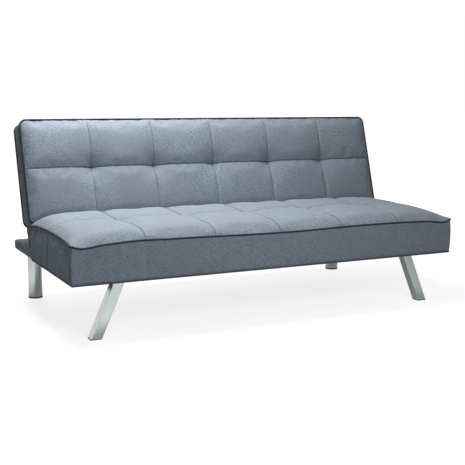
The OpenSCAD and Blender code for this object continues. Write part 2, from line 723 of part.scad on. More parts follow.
placed() {
    seat_front_rail();
    seat_rear_rail();
    seat_side_rail(-1);  // seat_side_rail_left
    seat_side_rail(1);  // seat_side_rail_right
    seat_cross_rails();
    seat_corner_blocks();
    front_leg_board();
    seat_webbing_long();
    seat_webbing_cross();
    seat_foam();
    seat_cover();
    seat_piping();
    seat_dust_cover();
    box_front_rail();
    box_rear_rail();
    box_side_rails();
    rear_leg_blocks();
    box_top_board();
    box_pad();
    box_cover();
    box_dust_cover();
    joining_bolts();
    joining_nuts();
    front_leg(-1);  // front_leg_left
    front_leg(1);  // front_leg_right
    front_foot_cap(-1);  // front_foot_cap_left
    front_foot_cap(1);  // front_foot_cap_right
    front_leg_screws();
    rear_leg(-1);  // rear_leg_left
    rear_leg(1);  // rear_leg_right
    rear_foot_cap(-1);  // rear_foot_cap_left
    rear_foot_cap(1);  // rear_foot_cap_right
    rear_leg_screws();
    hinge_plate(-1);  // hinge_plate_left
    hinge_plate(1);  // hinge_plate_right
    hinge_plate_bolts();
    back_bottom_rail();
    back_top_rail();
    back_stile(-1);  // back_stile_left
    back_stile(1);  // back_stile_right
    back_middle_stiles();
    back_webbing();
    back_foam();
    back_cover();
    back_front_piping();
    back_rear_piping();
    back_rear_panel();
    hinge_arm(-1);  // hinge_arm_left
    hinge_arm(1);  // hinge_arm_right
    hinge_arm_bolts();
    hinge_rivet(-1);  // hinge_rivet_left
    hinge_rivet(1);  // hinge_rivet_right
    pawl_pins();
    pawl_spring(-1);  // pawl_spring_left
    pawl_spring(1);  // pawl_spring_right
    pawl(-1);  // pawl_left
    pawl(1);  // pawl_right
}
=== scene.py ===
# %% [markdown]
# # An armless sofa bed, upholstered in code
# This lesson dresses a finished mechanical model of a sofa bed. The wood, legs and hinges come from
# the CAD frame and only need good materials. Everything soft is made here: the tufted seat and back,
# their piping, the box behind the back, and the thin cloths that close the frame underneath.

# %% Load the frame and measure it
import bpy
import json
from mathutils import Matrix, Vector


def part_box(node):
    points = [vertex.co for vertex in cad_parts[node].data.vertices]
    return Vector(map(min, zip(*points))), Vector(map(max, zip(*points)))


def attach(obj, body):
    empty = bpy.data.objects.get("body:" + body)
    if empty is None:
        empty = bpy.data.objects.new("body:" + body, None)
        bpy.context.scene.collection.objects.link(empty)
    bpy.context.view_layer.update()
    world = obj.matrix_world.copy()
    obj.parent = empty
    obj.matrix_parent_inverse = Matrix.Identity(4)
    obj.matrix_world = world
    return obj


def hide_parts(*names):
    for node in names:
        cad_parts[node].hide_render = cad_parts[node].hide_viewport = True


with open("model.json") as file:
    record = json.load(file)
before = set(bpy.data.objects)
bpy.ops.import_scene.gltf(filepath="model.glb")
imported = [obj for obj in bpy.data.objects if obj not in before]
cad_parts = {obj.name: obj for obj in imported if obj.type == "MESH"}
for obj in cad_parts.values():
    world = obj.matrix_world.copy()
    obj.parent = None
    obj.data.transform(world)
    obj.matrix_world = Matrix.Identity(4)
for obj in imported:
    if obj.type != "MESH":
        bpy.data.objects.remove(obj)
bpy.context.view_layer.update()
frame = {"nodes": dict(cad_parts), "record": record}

import json
import math

import bmesh
import bpy
import numpy as np
from mathutils import Matrix, Vector

MM = 0.001
scene = bpy.context.scene

# %% [markdown]
# ## Camera, light and floor
# A product shot of a sofa is taken from a little above seat height with a long lens, so that its
# edges stay nearly parallel. The studio is a pale floor under a white sky. Real softboxes are large
# and near; here three area lights do their work: one low overhead, left of the middle, that makes the
# seat the brightest face and fades towards the right, a weak one in front, and a faint one behind.
# The sky and the floor are white where the camera looks at them. As light they give far less: the
# floor bounces two fifths of what falls on it, and the sky is brighter above and to the right, so
# the left end keeps its shade.

# %% Camera
CAMERA_PLACE = (-1.7344, -3.3932, 0.9081)
CAMERA_HEADING = -27.085
CAMERA_DOWN = 9.215
CAMERA_ROLL = 0.587
LENS = 69.70

camera_data = bpy.data.cameras.new("camera")
camera_data.lens = LENS
camera_data.sensor_width = 36.0
camera = bpy.data.objects.new("camera", camera_data)
heading = Matrix.Rotation(math.radians(CAMERA_HEADING), 4, "Z")
tilt = Matrix.Rotation(math.radians(90 - CAMERA_DOWN), 4, "X")
roll = Matrix.Rotation(math.radians(CAMERA_ROLL), 4, "Z")
camera.matrix_world = Matrix.Translation(CAMERA_PLACE) @ heading @ tilt @ roll
scene.collection.objects.link(camera)
scene.camera = camera
scene.view_settings.view_transform = "Standard"
print("camera at", tuple(round(v, 3) for v in camera.location))

# %% Node tools
def put(tree, socket, value):
    """Links an output to the socket, or sets the socket to a plain value."""
    if isinstance(value, bpy.types.NodeSocket):
        tree.links.new(value, socket)
    elif value is not None:
        socket.default_value = value


def add(tree, kind, **values):
    """A new node. Values named after its settings are set; the rest go to its inputs by name."""
    node = tree.nodes.new("ShaderNode" + kind)
    for key, value in values.items():
        label = key.replace("_", " ")
        if hasattr(node, key) and label not in node.inputs:
            setattr(node, key, value)
        else:
            put(tree, node.inputs[label], value)
    return node


def maths(tree, operation, first, second=None):
    """The output of one Math node on one or two values or sockets."""
    node = add(tree, "Math", operation=operation)
    put(tree, node.inputs[0], first)
    put(tree, node.inputs[1], second)
    return node.outputs[0]


def either(tree, share, first, second):
    """The number output of a Mix node: first where share is 0, second where it is 1."""
    node = add(tree, "Mix")
    for socket, value in zip((node.inputs[0], node.inputs[2], node.inputs[3]), (share, first, second)):
        put(tree, socket, value)
    return node.outputs[0]


def mixed(tree, share, first, second, blend="MIX"):
    """The colour output of a Mix node between two colours or sockets."""
    node = add(tree, "Mix", data_type="RGBA", blend_type=blend)
    for socket, value in ((node.inputs[0], share), (node.inputs[6], first), (node.inputs[7], second)):
        put(tree, socket, (*value, 1.0) if isinstance(value, tuple) else value)
    return node.outputs[2]


def ranged(tree, value, low, high, to_low=0.0, to_high=1.0):
    """The output of a Map Range node: low to high becomes to_low to to_high, and no further."""
    return add(tree, "MapRange", Value=value, From_Min=low, From_Max=high, To_Min=to_low,
               To_Max=to_high).outputs["Result"]


def noise(tree, place, scale, detail, roughness=0.5, **more):
    """The value of a Noise Texture at a place, from 0 to 1."""
    return add(tree, "TexNoise", Vector=place, Scale=scale, Detail=detail, Roughness=roughness,
               **more).outputs["Fac"]


print("node tools ready")

# %% Studio
SKY_MIDDLE = 0.08
SKY_LEAN = (0.12, 0.0, 0.08)
SKY_REFLECTED = 0.70
FLOOR_REFLECTED = 0.12
FLOOR_COLOUR = (0.38, 0.385, 0.405, 1.0)
FLOOR_GLOW_NEAR = 0.80
FLOOR_GLOW_FAR = 1.0
NEAR, FAR = 1.0, 3.0
FLOOR_SIZE = 60.0
WHITE = (1.0, 1.0, 1.0, 1.0)


def area_light(name, place, aim, size, watts):
    """A square lamp of that size at place, turned to shine on aim."""
    lamp = bpy.data.lights.new(name, "AREA")
    lamp.shape = "SQUARE"
    lamp.size = size
    lamp.energy = watts
    lamp_object = bpy.data.objects.new(name, lamp)
    lamp_object.location = place
    lamp_object.rotation_euler = (Vector(aim) - Vector(place)).to_track_quat("-Z", "Y").to_euler()
    scene.collection.objects.link(lamp_object)


area_light("overhead_softbox", (-0.5, 0.12, 2.0), (-0.95, -0.02, 0.3), 0.9, 60)
area_light("front_softbox", (-0.1, -2.2, 1.3), (-0.1, 0.0, 0.3), 0.8, 21)
area_light("rear_softbox", (-0.4, 2.8, 2.2), (0.0, 0.0, 0.3), 1.6, 26)

world = bpy.data.worlds.new("white_sky")
scene.world = world
world.use_nodes = True
sky_tree = world.node_tree
sky = sky_tree.nodes["Background"]
sky.inputs["Color"].default_value = WHITE
ray = add(sky_tree, "LightPath")
lean = add(sky_tree, "VectorMath", operation="DOT_PRODUCT")
put(sky_tree, lean.inputs[0], add(sky_tree, "TexCoord").outputs["Generated"])
put(sky_tree, lean.inputs[1], SKY_LEAN)
light_share = maths(sky_tree, "ADD", lean.outputs["Value"], SKY_MIDDLE)
light_share.node.use_clamp = True
reflected = either(sky_tree, ray.outputs["Is Glossy Ray"], light_share, SKY_REFLECTED)
put(sky_tree, sky.inputs["Strength"], either(sky_tree, ray.outputs["Is Camera Ray"], reflected, 1.0))

bpy.ops.mesh.primitive_plane_add(size=FLOOR_SIZE, location=(0.0, 0.0, 0.0))
floor = bpy.context.object
floor.name = "studio_floor"
floor_paint = bpy.data.materials.new("pale_floor")
floor_paint.use_nodes = True
floor_tree = floor_paint.node_tree
floor_shader = floor_tree.nodes["Principled BSDF"]
for label, value in (("Base Color", FLOOR_COLOUR), ("Roughness", 0.6), ("Specular IOR Level", 0.1),
                     ("Emission Color", WHITE)):
    floor_shader.inputs[label].default_value = value
floor_ray = add(floor_tree, "LightPath")
floor_distance = add(floor_tree, "VectorMath", operation="LENGTH")
put(floor_tree, floor_distance.inputs[0], add(floor_tree, "TexCoord").outputs["Object"])
floor_fade = ranged(floor_tree, floor_distance.outputs["Value"], NEAR, FAR, FLOOR_GLOW_NEAR, FLOOR_GLOW_FAR)
floor_fade.node.interpolation_type = "SMOOTHSTEP"
floor_mirrored = maths(floor_tree, "MULTIPLY", floor_ray.outputs["Is Glossy Ray"], FLOOR_REFLECTED)
floor_glow = either(floor_tree, floor_ray.outputs["Is Camera Ray"], floor_mirrored, floor_fade)
put(floor_tree, floor_shader.inputs["Emission Strength"], floor_glow)
floor.data.materials.append(floor_paint)
print("studio ready")

# %% [markdown]
# ## Places taken from the frame
# The sofa's own measures come from the CAD pieces' boxes and from the recline joint in its record,
# so nothing here has to be fitted by eye. The back is worked out in a frame of its own, with one
# number across the sofa, one through the back from front to rear, and one up it. `on_back` turns
# such points by the rake and stands them on the sofa.

# %% Measures
def corners(node):
    """The lowest and the highest corner of a CAD node's box."""
    return np.array([tuple(corner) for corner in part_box(node)], float)


seat_low, seat_high = corners("seat_cover")
box_low, box_high = corners("box_cover")
recline = next(j for j in frame["record"]["behaviour"]["joints"] if j["name"] == "back_recline")
FOLD = math.radians(recline["range_deg"][1])
RAKE = math.pi / 2 - FOLD
PIVOT = np.array(recline["pos_m"], float)
END_GAP = 22 * MM
BACK_FOOT = PIVOT + np.array([0.0, -END_GAP, END_GAP / math.tan(FOLD / 2)])

HALF = seat_high[0]
SEAT_FRONT = seat_low[1]
SEAT_UNDER = seat_low[2]
PIPING_Z = BACK_FOOT[2] - 3 * MM
NOSE = 16.8 * MM
WELD = 0.02 * MM
LIP_Z = box_high[2] + 4 * MM
BACK_LONG = 428 * MM
BACK_THICK = 100 * MM
PANELS = 6
SEAM_GAP = 280 * MM
SEAMS = (np.arange(PANELS - 1) - (PANELS - 2) / 2) * SEAM_GAP
print("rake", round(math.degrees(RAKE), 1), "degrees; back stands on", BACK_FOOT.round(4))


def on_back(across, through, up):
    """Points of the back in the sofa's frame: turned about X by the rake, then moved to its foot."""
    y = through * math.cos(RAKE) + up * math.sin(RAKE)
    z = up * math.cos(RAKE) - through * math.sin(RAKE)
    return np.stack([across + 0 * y, y + BACK_FOOT[1], z + BACK_FOOT[2]], axis=-1)


# %% [markdown]
# ## Helpers for cloth surfaces
# A sewn cover is a few flat pieces of cloth joined at their edges. Each is made as a grid of points
# worked out at once with numpy, with a second grid of cloth coordinates in metres that carries the
# weave. Grids that share an edge are welded into one closed skin. The points stand close together
# beside a seam, where the cloth turns sharply, and further apart in the middle of a panel.

# %% Grids
def stations(stops, fine=2.5 * MM, coarse=11 * MM, growth=1.45):
    """Places along a line: steps grow from fine beside each stop to coarse between two stops."""
    places = [stops[0]]
    for a, b in zip(stops[:-1], stops[1:]):
        half = (b - a) / 2
        count = int(half / coarse) + 8
        steps = np.cumsum(np.minimum(fine * growth ** np.arange(count), coarse))
        steps = steps[:np.searchsorted(steps, half) + 1]
        steps *= half / steps[-1]
        places.extend(a + steps)
        places.extend(b - steps[-2::-1])
        places.append(b)
    return np.array(places)


def grid_faces(rows, columns, first):
    """Four corner numbers for each face of a rows by columns grid whose first point is number first."""
    corner = first + np.arange(rows - 1)[:, None] * columns + np.arange(columns - 1)[None, :]
    return np.stack([corner, corner + columns, corner + columns + 1, corner + 1], -1).reshape(-1, 4)


def sewn(name, patches):
    """One piece from several patches, each a dict of points, cloth coordinates, seam and hold.

    points is rows x columns x 3, cloth is rows x columns x 2; seam says how much a point's colour is
    darkened (0 to 1): beside a sewn seam for its thread and as painted shade in its crease, and as
    painted shade along a few shaded edges. hold says how firmly it stays in a simulation. Points in one
    place are welded.
    """
    points, cloth, seam, hold, faces, first = [], [], [], [], [], 0
    for patch in patches:
        rows, columns = patch["points"].shape[:2]
        faces.append(grid_faces(rows, columns, first))
        first += rows * columns
        points.append(patch["points"].reshape(-1, 3))
        cloth.append(patch["cloth"].reshape(-1, 2))
        seam.append(np.broadcast_to(patch.get("seam", 0.0), (rows, columns)).reshape(-1))
        hold.append(np.broadcast_to(patch.get("hold", 0.0), (rows, columns)).reshape(-1))
    faces = np.concatenate(faces)
    cloth = np.concatenate(cloth)
    mesh = bpy.data.meshes.new(name)
    mesh.from_pydata(np.concatenate(points).tolist(), [], faces.tolist())
    mesh.uv_layers.new(name="cloth").data.foreach_set("uv", cloth[faces.reshape(-1)].reshape(-1))
    for label, values in (("seam", seam), ("hold", hold)):
        mesh.attributes.new(label, "FLOAT", "POINT").data.foreach_set("value", np.concatenate(values))
    work = bmesh.new()
    work.from_mesh(mesh)
    bmesh.ops.remove_doubles(work, verts=work.verts, dist=WELD)
    flat = [face for face in work.faces if face.calc_area() < 1e-12]
    bmesh.ops.delete(work, geom=flat, context="FACES_ONLY")
    bmesh.ops.recalc_face_normals(work, faces=work.faces)
    open_edges = sum(1 for edge in work.edges if len(edge.link_faces) != 2)
    work.to_mesh(mesh)
    work.free()
    mesh.polygons.foreach_set("use_smooth", np.full(len(mesh.polygons), True))
    piece = bpy.data.objects.new(name, mesh)
    scene.collection.objects.link(piece)
    print(name, len(mesh.vertices), "points,", open_edges, "open edges")
    return piece


def round_corners(x, y, half, y_edge, radius, front=True):
    """Pulls a grid's square corner cells onto quarter discs.

    In a corner cell with s and t running from 0 to 1 towards the corner, s becomes
    s * sqrt(1 - t^2 / 2) and t becomes t * sqrt(1 - s^2 / 2), which turns the cell's two outer
    sides into one round arc.
    """
    inward = 1.0 if front else -1.0
    s = np.clip((np.abs(x) - (half - radius)) / radius, 0, 1)
    t = np.clip((radius - inward * (y - y_edge)) / radius, 0, 1)
    both = (s > 0) & (t > 0)
    new_x = np.sign(x) * (half - radius + radius * s * np.sqrt(1 - t * t / 2))
    new_y = y_edge + inward * (radius - radius * t * np.sqrt(1 - s * s / 2))
    return np.where(both, new_x, x), np.where(both, new_y, y)


def hill(value, centre, width):
    """A smooth hill of height 1: exp(-((value - centre) / width)^2)."""
    return np.exp(-((value - centre) / width) ** 2)


def rise(distance, reach):
    """Share that a stuffed cover has risen at a distance from its edge: 1 - exp(-(d / reach)^0.75)."""
    return 1 - np.exp(-(np.maximum(distance, 0) / reach) ** 0.75)


def nearest(values, stops):
    """Distance from each value to the nearest stop."""
    return np.abs(np.asarray(values)[..., None] - np.asarray(stops)).min(axis=-1)


def border(grid):
    """The points round a grid's edge, as a closed walk that starts and ends at its first corner."""
    return np.concatenate([grid[:, 0], grid[-1, 1:], grid[-2::-1, -1], grid[0, -2::-1]])


def walked(points):
    """Distance along a line of points."""
    return np.concatenate([[0], np.cumsum(np.linalg.norm(np.diff(points, axis=0), axis=1))])


# %% Quilting
PANEL_RISE = 8 * MM
FOLD_REACH = 16 * MM
STITCH = 3 * MM
GATHER_RING, GATHER_WIDTH, GATHER_HEIGHT = 26 * MM, 17 * MM, 0.9 * MM


def tufted(x, v, cross, tuft_depth, tuft_reach, upright=1.0, level=1.0):
    """Height that quilting adds to a stuffed surface with upright SEAMS and one level seam at cross.

    Each panel swells by PANEL_RISE * (1 - share * exp(-d / FOLD_REACH)) at distance d from its seams,
    where share is upright or level. Each crossing of two seams is pulled down by
    tuft_depth * exp(-r / tuft_reach). Small folds of height cos(7 a) run out of each crossing, where
    a is the angle round it and r the distance.
    """
    beside_upright = 1 - upright * np.exp(-nearest(x, SEAMS) / FOLD_REACH)
    beside_level = 1 - level * np.exp(-np.abs(v - cross) / FOLD_REACH)
    side = x - SEAMS[np.abs(x[..., None] - SEAMS).argmin(axis=-1)]
    ring = np.sqrt(side ** 2 + (v - cross) ** 2 + STITCH ** 2)
    gathers = np.cos(7 * np.arctan2(v - cross, side)) * hill(ring, GATHER_RING, GATHER_WIDTH)
    tuft = tuft_depth * np.exp(-ring / tuft_reach)
    return PANEL_RISE * beside_upright * beside_level - tuft + GATHER_HEIGHT * gathers


# %% Stuffing, smoothing and cutting
CLOTH_FRAMES = 14
CLOTH_GROWTH = 0.008


def puff(piece, pressure, reach):
    """Blows the piece up a little as cloth, held where its hold attribute says, then keeps the result.

    The cloth is cut larger by the share CLOTH_GROWTH, so it creases beside its seams as real cloth
    does.
    No point ends further than reach from where it began.
    """
    mesh = piece.data
    count = len(mesh.vertices)
    hold = np.empty(count)
    mesh.attributes["hold"].data.foreach_get("value", hold)
    start = np.empty(count * 3)
    mesh.vertices.foreach_get("co", start)
    group = piece.vertex_groups.new(name="held")
    for level in np.unique(hold.round(2)):
        group.add(np.flatnonzero(hold.round(2) == level).tolist(), float(level), "REPLACE")
    cloth = piece.modifiers.new("cloth", "CLOTH")
    settings = cloth.settings
    settings.quality = 7
    settings.mass = 0.25
    settings.tension_stiffness = 25
    settings.compression_stiffness = 25
    settings.shear_stiffness = 12
    settings.bending_stiffness = 1.2
    settings.use_pressure = True
    settings.uniform_pressure_force = pressure
    settings.shrink_min = -CLOTH_GROWTH
    settings.vertex_group_mass = "held"
    settings.effector_weights.gravity = 0
    cloth.collision_settings.use_collision = False
    cloth.point_cache.frame_start = 1
    cloth.point_cache.frame_end = CLOTH_FRAMES
    for number in range(1, CLOTH_FRAMES + 1):
        scene.frame_set(number)
    shaped = piece.evaluated_get(bpy.context.evaluated_depsgraph_get())
    end = np.empty(count * 3)
    shaped.data.vertices.foreach_get("co", end)
    scene.frame_set(1)
    piece.modifiers.remove(cloth)
    move = (end - start).reshape(-1, 3)
    length = np.linalg.norm(move, axis=1, keepdims=True)
    move *= np.minimum(1, reach / np.maximum(length, 1e-9))
    mesh.vertices.foreach_set("co", start + move.reshape(-1))
    mesh.update()
    print(piece.name, "moved by up to", round(float(length.max()) / MM, 1), "mm, kept to", reach / MM)


def subdivide(piece):
    """One live subdivision of the piece, the same in the view and the render."""
    modifier = piece.modifiers.new("smooth", "SUBSURF")
    modifier.levels = 1
    modifier.render_levels = 1


def cut_boxes(piece, corners):
    """Cuts boxes, each given by its lowest and highest corner, out of the piece's finished shape."""
    cutter_mesh = bpy.data.meshes.new("cutter")
    work = bmesh.new()
    for low, high in corners:
        low, high = np.array(low), np.array(high)
        place = Matrix.Translation((low + high) / 2) @ Matrix.Diagonal((*(high - low), 1.0))
        bmesh.ops.create_cube(work, size=1.0, matrix=place)
    work.to_mesh(cutter_mesh)
    work.free()
    cutter = bpy.data.objects.new("cutter", cutter_mesh)
    scene.collection.objects.link(cutter)
    cut = piece.modifiers.new("slots", "BOOLEAN")
    cut.operation = "DIFFERENCE"
    cut.solver = "EXACT"
    cut.object = cutter
    shaped = piece.evaluated_get(bpy.context.evaluated_depsgraph_get())
    finished = bpy.data.meshes.new_from_object(shaped)
    piece.modifiers.clear()
    piece.data = finished
    bpy.data.objects.remove(cutter)
    finished.set_sharp_from_angle(angle=math.radians(60))
    print(piece.name, "cut,", len(finished.polygons), "faces")


# %% Cords
CORD_SIDES = 12


def tube(name, path, radius, reference, closed=False):
    """A round cord along a path: a circle carried along it, square to its direction.

    Each ring is path + radius * (cos a * s + sin a * u), where s and u are square to the path and s
    is square to reference too.
    A path that isn't closed gets a small cap at each end.
    """
    path = np.asarray(path, float)
    if closed:
        direction = np.roll(path, -1, axis=0) - np.roll(path, 1, axis=0)
    else:
        direction = np.gradient(path, axis=0)
    direction /= np.linalg.norm(direction, axis=1, keepdims=True)
    side = np.cross(direction, np.broadcast_to(np.array(reference, float), direction.shape))
    side /= np.linalg.norm(side, axis=1, keepdims=True)
    other = np.cross(side, direction)
    if closed:
        path, side, other = (np.concatenate([a, a[:1]]) for a in (path, side, other))
    angle = np.linspace(0, 2 * math.pi, CORD_SIDES + 1)
    cosine, sine = np.cos(angle)[None, :, None], np.sin(angle)[None, :, None]
    points = path[:, None] + radius * (cosine * side[:, None] + sine * other[:, None])
    around = np.broadcast_to(angle * radius, points.shape[:2])
    cloth = np.stack([np.broadcast_to(walked(path)[:, None], points.shape[:2]), around], -1)
    patches = [{"points": points, "cloth": cloth}]
    if not closed:
        for end in (0, -1):
            hub = np.broadcast_to(path[end], points[end].shape)
            patches.append({"points": np.stack([points[end], hub]),
                            "cloth": np.stack([cloth[end], cloth[end]])})
    return sewn(name, patches)


print("helpers ready")

# %% [markdown]
# ## Shared effects for the materials
# Several materials need the same things: a weave, the cloudy mix of light and dark yarns of a
# heather cloth, wood grain, fine scratches and settled dust. Each is a node group, built once,
# which gives out only colours, masks and heights. The shader itself stays in each material.

# %% Node group tools
def group_tree(name, inputs, outputs):
    """A new shader group with those sockets, given as (kind, name, default)."""
    tree = bpy.data.node_groups.new(name, "ShaderNodeTree")
    for kind, label, default in inputs:
        socket = tree.interface.new_socket(label, in_out="INPUT", socket_type="NodeSocket" + kind)
        if default is not None:
            socket.default_value = default
    for kind, label in outputs:
        tree.interface.new_socket(label, in_out="OUTPUT", socket_type="NodeSocket" + kind)
    return tree, tree.nodes.new("NodeGroupInput"), tree.nodes.new("NodeGroupOutput")


# %% Weave: two sets of threads that pass over and under each other
def build_weave():
    """Height of a plain weave: the warp's and the weft's rounded threads, in turn on top."""
    tree, inside, outside = group_tree(
        "weave",
        [("Vector", "Cloth", None), ("Float", "Threads per metre", 700.0)],
        [("Float", "Height")])
    scaled = add(tree, "VectorMath", operation="SCALE", Scale=inside.outputs["Threads per metre"])
    put(tree, scaled.inputs[0], inside.outputs["Cloth"])
    split = add(tree, "SeparateXYZ", Vector=scaled.outputs[0])
    u = maths(tree, "SINE", maths(tree, "MULTIPLY", split.outputs[0], math.pi))
    v = maths(tree, "SINE", maths(tree, "MULTIPLY", split.outputs[1], math.pi))
    over = maths(tree, "GREATER_THAN", maths(tree, "MULTIPLY", u, v), 0.0)
    height = either(tree, over, maths(tree, "ABSOLUTE", v), maths(tree, "ABSOLUTE", u))
    put(tree, outside.inputs["Height"], height)
    return tree


# %% Heather: yarns of two shades, streaked along the threads
def build_heather():
    """Masks from 0 to 1: slubby streaks along both threads, soft clouds, and wide patches of tint."""
    tree, inside, outside = group_tree(
        "heather",
        [("Vector", "Cloth", None), ("Float", "Streak size", 1.0)],
        [("Float", "Yarn"), ("Float", "Cloud"), ("Float", "Tint")])
    cloth = inside.outputs["Cloth"]
    streaks = []
    for stretch in ((75.0, 330.0, 1.0), (300.0, 110.0, 1.0)):
        turned = add(tree, "VectorMath", operation="MULTIPLY")
        put(tree, turned.inputs[0], cloth)
        put(tree, turned.inputs[1], stretch)
        streaks.append(noise(tree, turned.outputs[0], inside.outputs["Streak size"], 3.0, 0.6))
    yarn = maths(tree, "MULTIPLY", maths(tree, "ADD", *streaks), 0.5)
    put(tree, outside.inputs["Yarn"], ranged(tree, yarn, 0.38, 0.62))
    put(tree, outside.inputs["Cloud"], ranged(tree, noise(tree, cloth, 26.0, 5.0, 0.65), 0.35, 0.65))
    put(tree, outside.inputs["Tint"], ranged(tree, noise(tree, cloth, 2.6, 2.0), 0.4, 0.62))
    return tree


# %% Grain, scratches and dust, on object coordinates
def build_grain():
    """Long wood grain along X: noise stretched twenty times along the grain, with darker latewood."""
    tree, inside, outside = group_tree(
        "wood_grain", [("Float", "Fineness", 1.0)], [("Float", "Grain"), ("Float", "Height")])
    stretched = add(tree, "Mapping", Vector=add(tree, "TexCoord").outputs["Object"], Scale=(3.0, 60.0, 60.0))
    fibre = noise(tree, stretched.outputs[0], inside.outputs["Fineness"], 6.0, 0.62, Distortion=0.6)
    rings = maths(tree, "SINE", maths(tree, "MULTIPLY", fibre, 42.0))
    put(tree, outside.inputs["Grain"], ranged(tree, rings, -1.0, 1.0))
    put(tree, outside.inputs["Height"], fibre)
    return tree


def build_scratches():
    """A mask of fine scratches and a mask of soft smudges for metal and plastic."""
    tree, inside, outside = group_tree(
        "scratches", [("Float", "Size", 1.0)], [("Float", "Scratch"), ("Float", "Smudge")])
    place = add(tree, "TexCoord").outputs["Object"]
    stretched = add(tree, "Mapping", Vector=place, Scale=(500.0, 500.0, 24.0))
    fine = noise(tree, stretched.outputs[0], inside.outputs["Size"], 2.0)
    put(tree, outside.inputs["Scratch"], ranged(tree, fine, 0.56, 0.72))
    put(tree, outside.inputs["Smudge"], ranged(tree, noise(tree, place, 26.0, 5.0, 0.6), 0.42, 0.7))
    return tree


def build_dust():
    """A mask of dust that settles on faces that look up: the normal's Z, broken up by noise."""
    tree, inside, outside = group_tree("settled_dust", [("Float", "Amount", 0.2)], [("Float", "Dust")])
    up = add(tree, "SeparateXYZ", Vector=add(tree, "NewGeometry").outputs["Normal"])
    speckle = noise(tree, add(tree, "TexCoord").outputs["Object"], 90.0, 6.0)
    loose = maths(tree, "MULTIPLY", ranged(tree, up.outputs[2], 0.35, 1.0), speckle)
    put(tree, outside.inputs["Dust"], maths(tree, "MULTIPLY", loose, inside.outputs["Amount"]))
    return tree


groups = {"weave": build_weave(), "heather": build_heather(), "grain": build_grain(),
          "scratches": build_scratches(), "dust": build_dust()}
print("effects:", ", ".join(groups))

# %% [markdown]
# ## Materials
# The cover is a matt polyester weave in blue-grey heather. It has a soft sheen where it turns away,
# so its edges look a little paler. The seams are darkened with a mask stored on the mesh: their thread
# and lint, and painted shade for the shadow in their creases, make them read as thin dark lines. The
# same mask paints shade along the seat's bottom edge and on the rear of the back's side strip. The
# piping is a tighter navy cloth.

# %% Material tools
def new_material(name, roughness, metallic=0.0):
    """A material with those plain values; gives the material, its tree and its shader."""
    material = bpy.data.materials.new(name)
    material.use_nodes = True
    shader = material.node_tree.nodes["Principled BSDF"]
    shader.inputs["Roughness"].default_value = roughness
    shader.inputs["Metallic"].default_value = metallic
    return material, material.node_tree, shader


def use_group(tree, key, **values):
    """One of the shared groups in a material, with its inputs set or linked."""
    node = tree.nodes.new("ShaderNodeGroup")
    node.node_tree = groups[key]
    for label, value in values.items():
        put(tree, node.inputs[label.replace("_", " ")], value)
    return node


def bump(tree, shader, height, strength, distance):
    """Feeds a height to the shader's normal."""
    node = add(tree, "Bump", Height=height, Strength=strength, Distance=distance)
    put(tree, shader.inputs["Normal"], node.outputs["Normal"])


def cloth_material(name, dark, light, threads, bump_height, tint=None, streak=1.0, sheen=0.2,
                   cloud=0.25):
    """Woven cloth: yarn colours mixed by the heather masks, the weave's height as bump and as painted shade
    between its threads, and the seam mask's dark seams and painted shade.
    """
    material, tree, shader = new_material(name, 0.92)
    shader.inputs["Sheen Weight"].default_value = sheen
    shader.inputs["Sheen Roughness"].default_value = 0.45
    shader.inputs["Specular IOR Level"].default_value = 0.25
    cloth = add(tree, "UVMap", uv_map="cloth").outputs[0]
    weave = use_group(tree, "weave", Cloth=cloth, Threads_per_metre=threads)
    heather = use_group(tree, "heather", Cloth=cloth, Streak_size=streak)
    yarns = mixed(tree, heather.outputs["Yarn"], dark, light)
    cloudy = mixed(tree, maths(tree, "MULTIPLY", heather.outputs["Cloud"], cloud), yarns, light)
    if tint:
        cloudy = mixed(tree, maths(tree, "MULTIPLY", heather.outputs["Tint"], 0.55), cloudy, tint)
    # painted shade: the weave's low places, between its threads, are painted darker in the colour as well as
    # bumped
    pits = ranged(tree, weave.outputs["Height"], 0.0, 1.0, 0.78, 1.06)
    pitted = mixed(tree, 1.0, cloudy, pits, "MULTIPLY")
    # painted shade: the seam mask darkens the colour for the seams' thread, for the shadow in their creases,
    # and along shaded edges of the cover
    seam = maths(tree, "MULTIPLY", add(tree, "Attribute", attribute_name="seam").outputs["Fac"], 0.88)
    seams_and_painted_shade = mixed(tree, seam, pitted, (0.015, 0.018, 0.026))
    dust = use_group(tree, "dust", Amount=0.06)
    put(tree, shader.inputs["Base Color"], mixed(tree, dust.outputs["Dust"], seams_and_painted_shade, (0.55, 0.54, 0.52)))
    put(tree, shader.inputs["Roughness"], ranged(tree, heather.outputs["Yarn"], 0.0, 1.0, 0.86, 0.98))
    slub = maths(tree, "MULTIPLY", heather.outputs["Yarn"], 0.8)
    bump(tree, shader, maths(tree, "ADD", weave.outputs["Height"], slub), 0.4, bump_height)
    return material


# %% Cloths
heather_cloth = cloth_material("heather_cloth", (0.088, 0.116, 0.144), (0.266, 0.318, 0.366),
                               620, 0.5 * MM, tint=(0.190, 0.208, 0.258), sheen=0.12)
navy_cloth = cloth_material("navy_piping", (0.012, 0.016, 0.026), (0.030, 0.038, 0.056), 900, 0.3 * MM,
                            sheen=0.1, cloud=0.2)
rear_cloth = cloth_material("rear_cloth", (0.050, 0.056, 0.068), (0.105, 0.115, 0.135), 500, 0.3 * MM)
dust_cloth = cloth_material("dust_cloth", (0.010, 0.010, 0.011), (0.024, 0.024, 0.026), 240, 0.2 * MM,
                            streak=0.4, sheen=0.1)
webbing_cloth = cloth_material("webbing", (0.020, 0.018, 0.016), (0.05, 0.045, 0.04), 300, 0.4 * MM)
print("cloths ready")


